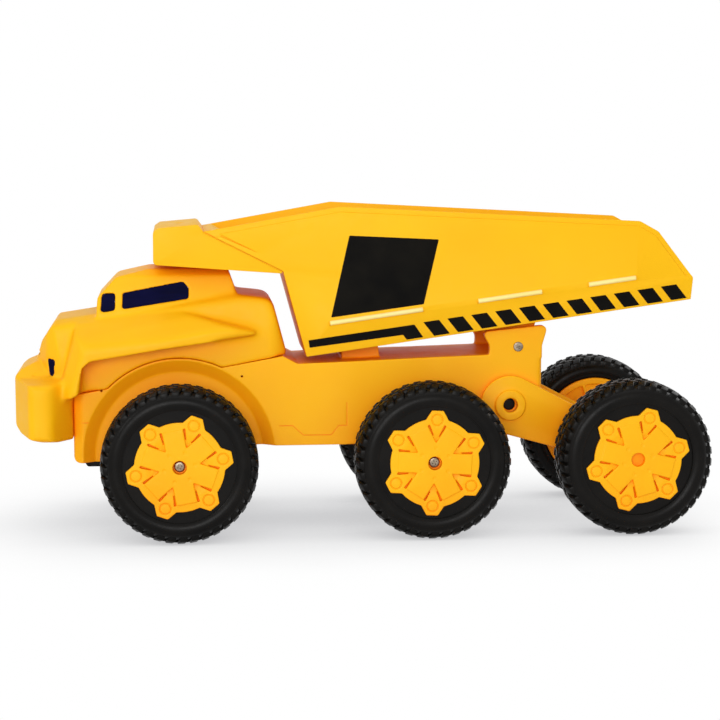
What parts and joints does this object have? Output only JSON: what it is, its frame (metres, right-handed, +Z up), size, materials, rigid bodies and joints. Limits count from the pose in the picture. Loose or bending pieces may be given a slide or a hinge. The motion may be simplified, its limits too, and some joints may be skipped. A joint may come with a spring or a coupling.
{
  "type": "toy dump truck",
  "caption": "Toy mining dump truck in yellow plastic: free-rolling lugged wheels, a hollow cab with dark panes, and a sloping dump body with a cab guard that tips up on a rear hinge.",
  "frame": {"origin": "on the floor under the middle of the truck's bounding box", "axes": "+X towards the truck's nose, +Y to its left, +Z up"},
  "size_m": [0.669, 0.246, 0.3156],
  "materials": {
    "yellow_plastic": "satin gloss",
    "hub_yellow": "satin gloss",
    "black_tyre": "satin",
    "black_plastic": "satin",
    "navy_panes": "gloss",
    "steel": "plated"
  },
  "bodies": {
    "chassis": {"chassis": "yellow_plastic", "cab_shell": "yellow_plastic", "windows": "navy_panes", "headlamps": "navy_panes", "grille": "black_plastic", "front_axle_cover": "black_plastic", "middle_axle_cover": "black_plastic", "rear_arm_left": "yellow_plastic", "rear_arm_right": "yellow_plastic", "front_axle": "steel", "middle_axle": "steel", "rear_axle": "steel", "wheel_screws": "steel", "hinge_pin": "steel"},
    "dump_bed": {"dump_body": "yellow_plastic", "cab_guard": "yellow_plastic"},
    "wheel_front_left": {"tyre_front_left": "black_tyre", "hub_cap_front_left": "hub_yellow", "hub_disc_front_left": "hub_yellow"},
    "wheel_front_right": {"tyre_front_right": "black_tyre", "hub_cap_front_right": "hub_yellow", "hub_disc_front_right": "hub_yellow"},
    "wheel_middle_left": {"tyre_middle_left": "black_tyre", "hub_cap_middle_left": "hub_yellow", "hub_disc_middle_left": "hub_yellow"},
    "wheel_middle_right": {"tyre_middle_right": "black_tyre", "hub_cap_middle_right": "hub_yellow", "hub_disc_middle_right": "hub_yellow"},
    "wheel_rear_left": {"tyre_rear_left": "black_tyre", "hub_cap_rear_left": "hub_yellow", "hub_disc_rear_left": "hub_yellow"},
    "wheel_rear_right": {"tyre_rear_right": "black_tyre", "hub_cap_rear_right": "hub_yellow", "hub_disc_rear_right": "hub_yellow"}
  },
  "joints": [
    {"name": "bed_tip", "type": "hinge", "parent": "chassis", "child": "dump_bed", "pos_m": [-0.155, 0, 0.177], "axis": [0, -1, 0], "range_deg": [0, 40]},
    {"name": "wheel_front_left_roll", "type": "hinge", "parent": "chassis", "child": "wheel_front_left", "pos_m": [0.1775, 0.098, 0.075], "axis": [0, 1, 0], "continuous": true},
    {"name": "wheel_front_right_roll", "type": "hinge", "parent": "chassis", "child": "wheel_front_right", "pos_m": [0.1775, -0.098, 0.075], "axis": [0, 1, 0], "continuous": true},
    {"name": "wheel_middle_left_roll", "type": "hinge", "parent": "chassis", "child": "wheel_middle_left", "pos_m": [-0.0635, 0.098, 0.075], "axis": [0, 1, 0], "continuous": true},
    {"name": "wheel_middle_right_roll", "type": "hinge", "parent": "chassis", "child": "wheel_middle_right", "pos_m": [-0.0635, -0.098, 0.075], "axis": [0, 1, 0], "continuous": true},
    {"name": "wheel_rear_left_roll", "type": "hinge", "parent": "chassis", "child": "wheel_rear_left", "pos_m": [-0.2595, 0.098, 0.075], "axis": [0, 1, 0], "continuous": true},
    {"name": "wheel_rear_right_roll", "type": "hinge", "parent": "chassis", "child": "wheel_rear_right", "pos_m": [-0.2595, -0.098, 0.075], "axis": [0, 1, 0], "continuous": true}
  ]
}
